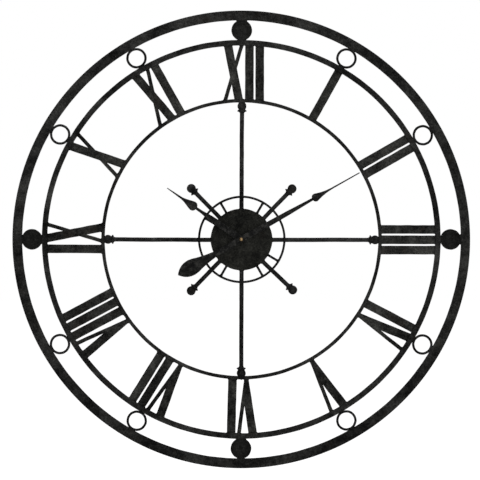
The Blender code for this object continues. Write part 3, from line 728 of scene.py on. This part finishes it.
def hub_plate():
    """The hub disc, with a worn edge that scale makes a little wider."""
    hole_r = radius_span("hub_disc")[0]
    front, back = depth_span("hub_disc")
    low, high, edge = -back, -front, HUB_R + 0.35
    bm = turned([(hole_r, low), (edge - 0.3, low), (edge, low + 0.3), (edge, high - 0.5),
                 (edge - 0.15, high - 0.15), (edge - 0.5, high), (edge - 1.0, high), (30, high),
                 (12, high), (hole_r, high)], 120, True)
    for vert in bm.verts:
        spot = Vector((vert.co.x / 15, vert.co.y / 15, 8.8))
        far = hypot(vert.co.x, vert.co.y)
        if far > edge - 2:
            push = 1 + 0.25 * noise.noise(spot) / far
            vert.co.x, vert.co.y = vert.co.x * push, vert.co.y * push
    facing(bm)
    set_off(bm, "hub_disc")
    mesh_piece("hub_disc_plate", bm, HUB_IRON, stands_for=["hub_disc"])


def hub_wires():
    """The small wire ring with its spokes."""
    y = HUB_RING_BACK - HUB_WIRE + 0.2

    def shift(a, k):
        return 0.45 * noise.noise(Vector((2.2 * sin(a), 2.2 * cos(a), 5.5))), 0.0

    bm = swept_ring(HUB_RING_R - HUB_WIRE + 0.1, round_section(HUB_WIRE, y), 160, shift)
    for angle in SPOKE_ANGLES:
        straight_wire(bm, HUB_R - 0.7, HUB_RING_R - 2 * HUB_WIRE + 0.6, angle, 2.0, y, 0.9)
    set_off(bm, "hub_ring")
    mesh_piece("hub_ring_wire", bm, WIRE_IRON, stands_for=["hub_ring"])


def hub_welds():
    """The welds of the rods on the hub disc, the small ring and the inner numeral ring."""
    welds = bmesh.new()
    for n, (turn, _, shift_at_axis, lean) in enumerate(RODS.values()):
        x, z = polar(HUB_RING_R - HUB_WIRE, turn, shift_at_axis + lean * HUB_RING_R)
        bead(welds, (x, HUB_RING_BACK + 0.2, z), (4.0, 1.2, 4.0), 3.1 * n)
        for side in (-1, 1):
            x, z = polar(HUB_R - 0.3, turn, side * 3.5 + shift_at_axis + lean * HUB_R)
            bead(welds, (x, ROD_Y - 2.6, z), (1.3, 1.1, 1.3), 2.3 * n + side)
    for n in range(4):
        x, z = polar(radius_span("numeral_ring_inner")[0] - 0.2, 90 * n)
        bead(welds, (x, ROD_Y + 0.1, z), (5.2, 2.3, 5.2), 5.9 + n)
    set_off(welds, "rods")
    mesh_piece("hub_welds", welds, ROD)


for node, setting in RODS.items():
    forged_rod(node, *setting)
hub_plate()
hub_wires()
hub_welds()


# ---- carried-over nodes -------------------------------------------------------
def dress(node, material, bevel):
    """Give a CAD node its material and soften its edges."""
    obj = NODES[node]
    obj.data.materials.clear()
    obj.data.materials.append(material)
    weld = obj.modifiers.new("joined", "WELD")
    weld.merge_threshold = 2e-6
    round_edges(obj, bevel, 35)


dress("wall_hanger", ROD, 0.35)
dress("hour_hand", PAINT, 0.2)
dress("minute_hand", PAINT, 0.2)
dress("fixing_nut", PAINT, 0.25)
dress("rubber_washer", RUBBER, 0.3)
dress("movement_case", ABS, 0.25)
dress("movement_cover", ABS, 0.25)
dress("setting_knob", ABS, 0.15)
dress("circuit_board", BOARD, 0.05)
dress("threaded_bush", BRASS, 0.1)
dress("minute_wheel", BRASS, 0.05)
dress("motor_coil", COPPER, 0.1)
for node in ("motor_rotor", "motor_stator", "battery_contact_minus", "battery_contact_plus"):
    dress(node, STEEL, 0.05)
for node in ("hour_wheel", "motion_wheel", "third_wheel", "second_wheel", "intermediate_wheel"):
    dress(node, ACETAL, 0.05)


def hand_nut():
    """A dark washer and the small bright dome that is screwed down on the minute hand."""
    front, back = depth_span("minute_hand_nut")
    low, top = -back, -front
    collar = [
        (0, low), (3.7, low), (3.7, low + 0.9), (3.4, low + 1.2), (2.6, low + 1.3), (0, low + 1.3),
    ]
    mesh_piece("hand_nut_collar", facing(turned(collar, 32)), DARK_BRASS, "minute_group")
    dome = [
        (0, low + 1.2), (2.75, low + 1.2), (2.75, top - 0.95), (2.5, top - 0.5),
        (2.0, top - 0.22), (1.3, top - 0.06), (0.6, top), (0, top),
    ]
    mesh_piece("hand_nut_dome", facing(turned(dome, 32)), OLD_BRASS, "minute_group",
               stands_for=["minute_hand_nut"])


def cell():
    """The AA cell: a plastic sleeve with rolled shoulders, a steel can end and its raised cap."""
    low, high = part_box("battery")
    radius = (high[1] - low[1]) / 2 / MM
    left, right = low[0] / MM, high[0] / MM
    cap_r, cap_height = 2.7, 1.4
    shoulder = right - cap_height
    at = (0, (low[1] + high[1]) / 2 / MM, (low[2] + high[2]) / 2 / MM)

    def lay(name, profile, material, stands_for=()):
        bm = turned(profile, 40, profile[0][0] > 0)
        bmesh.ops.rotate(bm, verts=bm.verts, matrix=Matrix.Rotation(radians(90), 3, "Y"))
        bmesh.ops.translate(bm, verts=bm.verts, vec=at)
        mesh_piece(name, bm, material, "cell", stands_for)

    grip = radius - 0.02
    lay("cell_sleeve", [
        (5.4, left + 0.5), (5.9, left + 0.12), (6.7, left + 0.15), (grip, left + 0.6),
        (grip, shoulder - 0.6), (6.7, shoulder - 0.12), (5.6, shoulder - 0.08),
        (5.2, shoulder - 0.5), (5.2, left + 0.6)], SLEEVE, ["battery"])
    lay("cell_can_end", [
        (0, left + 3), (5.15, left + 3), (5.15, left + 0.35), (4.6, left + 0.05), (3.6, left),
        (3.3, left + 0.15), (0, left + 0.15)], STEEL)
    lay("cell_cap", [
        (0, shoulder - 3), (5.1, shoulder - 3), (5.1, shoulder - 0.4),
        (cap_r + 0.5, shoulder - 0.4), (cap_r, shoulder), (cap_r, right - 0.35),
        (cap_r - 0.35, right), (0, right)], STEEL)


def cover_mouldings():
    """A collar round the setting knob, a raised border and corner pins on the rear cover."""
    low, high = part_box("movement_cover")
    left, bottom, right, top = low[0] / MM, low[2] / MM, high[0] / MM, high[2] / MM
    skin = high[1] / MM - 0.05
    knob_low, knob_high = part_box("setting_knob")
    knob = ((knob_low[0] + knob_high[0]) / 2 / MM, (knob_low[2] + knob_high[2]) / 2 / MM)
    reach = (knob_high[0] - knob_low[0]) / 2 / MM + 0.7
    bm = bmesh.new()

    def bar(x0, x1, z0, z1):
        sheet(bm, [(x0, z0), (x1, z0), (x1, z1), (x0, z1)], skin, skin + 0.45)

    def add(profile, at):
        """Add a round moulding: profile is (radius, height over the cover)."""
        points = [(r, -skin - height) for r, height in profile]
        absorb(bm, facing(turned(points, 40, profile[0][0] > 0), (at[0], 0, at[1])))

    inset, rib, corner = 2.6, 0.8, 3
    bar(left + inset + corner, right - inset - corner, top - inset - rib, top - inset)
    bar(left + inset + corner, right - inset - corner, bottom + inset, bottom + inset + rib)
    bar(left + inset, left + inset + rib, bottom + inset + corner, top - inset - corner)
    bar(right - inset - rib, right - inset, bottom + inset + corner, top - inset - corner)
    add([(reach, 0), (reach + 1.0, 0), (reach + 0.9, 0.5), (reach + 0.1, 0.5)], knob)
    for x in (left + inset + 0.9, right - inset - 0.9):
        for z in (bottom + inset + 0.9, top - inset - 0.9):
            add([(0, 0), (1.5, 0), (1.4, 0.4), (1.1, 0.5), (0, 0.5)], (x, z))
    mesh_piece("cover_mouldings", bm, ABS, bevel=0.12)


cell()
hand_nut()
cover_mouldings()

# ---- stage, light and camera --------------------------------------------------
VIEW_WIDTH = 0.7989  # metres across the picture at the rings' front
CAMERA_AWAY = 3.6
CAMERA_AT = (-0.0021, -0.0010)  # x and z of the line of sight
FLOOR_Z, FLOOR_R = -0.95, 30.0
GLOW_FROM, GLOW_FULL = 1.5, 5.5  # metres from the clock where the floor turns into backdrop


def stage():
    """A pale floor that turns into the white of the backdrop far from the clock."""
    bm = bmesh.new()
    bmesh.ops.create_circle(bm, cap_ends=True, segments=96, radius=FLOOR_R)
    bmesh.ops.translate(bm, verts=bm.verts, vec=(0, 0, FLOOR_Z))
    mesh = bpy.data.meshes.new("floor")
    bm.to_mesh(mesh)
    bm.free()
    floor = bpy.data.objects.new("floor", mesh)
    m = Nodes("pale_floor")
    m.colour(m.mix(m.noise(3, 2), (0.86, 0.86, 0.86), (0.9, 0.9, 0.9)))
    m.rough(0.9)
    m.set("Specular IOR Level", 0.1)
    far = m.new("ShaderNodeVectorMath")
    far.operation = "LENGTH"
    m.link(m.place, far.inputs[0])
    m.set("Emission Color", (1, 1, 1, 1))
    glow = m.range(far.outputs["Value"], GLOW_FROM, GLOW_FULL, 0.0, 0.95)
    m.link(glow, m.shader.inputs["Emission Strength"])
    mesh.materials.append(m.material)
    bpy.context.scene.collection.objects.link(floor)


def softbox(name, at, size, power, target=(0, 0, 0)):
    """A square lamp at a point in metres, aimed at a target."""
    light = bpy.data.lights.new(name, "AREA")
    light.shape = "SQUARE"
    light.size = size
    light.energy = power
    obj = bpy.data.objects.new(name, light)
    obj.location = at
    obj.rotation_euler = (Vector(target) - Vector(at)).to_track_quat("-Z", "Y").to_euler()
    bpy.context.scene.collection.objects.link(obj)


def surroundings():
    """White where the camera sees it, and a faint fill light everywhere else."""
    world = bpy.data.worlds.new("studio")
    bpy.context.scene.world = world
    world.use_nodes = True
    tree = world.node_tree
    seen = tree.nodes["Background"]
    seen.inputs["Color"].default_value = (1, 1, 1, 1)
    seen.inputs["Strength"].default_value = 1.0
    fill = tree.nodes.new("ShaderNodeBackground")
    fill.inputs["Color"].default_value = (1, 1, 1, 1)
    fill.inputs["Strength"].default_value = 0.09
    path = tree.nodes.new("ShaderNodeLightPath")
    mix = tree.nodes.new("ShaderNodeMixShader")
    tree.links.new(path.outputs["Is Camera Ray"], mix.inputs["Fac"])
    tree.links.new(fill.outputs["Background"], mix.inputs[1])
    tree.links.new(seen.outputs["Background"], mix.inputs[2])
    tree.links.new(mix.outputs["Shader"], tree.nodes["World Output"].inputs["Surface"])


def camera():
    """A camera straight in front, at the photograph's viewing angle."""
    data = bpy.data.cameras.new("camera")
    data.sensor_width = 36.0
    data.lens = data.sensor_width * CAMERA_AWAY / VIEW_WIDTH
    data.clip_end = 50.0
    obj = bpy.data.objects.new("camera", data)
    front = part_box("outer_ring")[0][1]
    obj.location = (CAMERA_AT[0], front - CAMERA_AWAY, CAMERA_AT[1])
    obj.rotation_euler = (radians(90), 0, 0)
    bpy.context.scene.collection.objects.link(obj)
    bpy.context.scene.camera = obj


stage()
surroundings()
softbox("front_softbox", (0.8, -4.4, 0.3), 3.2, 78)
softbox("top_softbox", (0, -0.9, 3.2), 5.0, 170, (0, 0.2, FLOOR_Z))
softbox("rear_softbox", (1.2, 3.8, 1.4), 3.0, 110)
camera()
bpy.context.scene.view_settings.view_transform = "Standard"
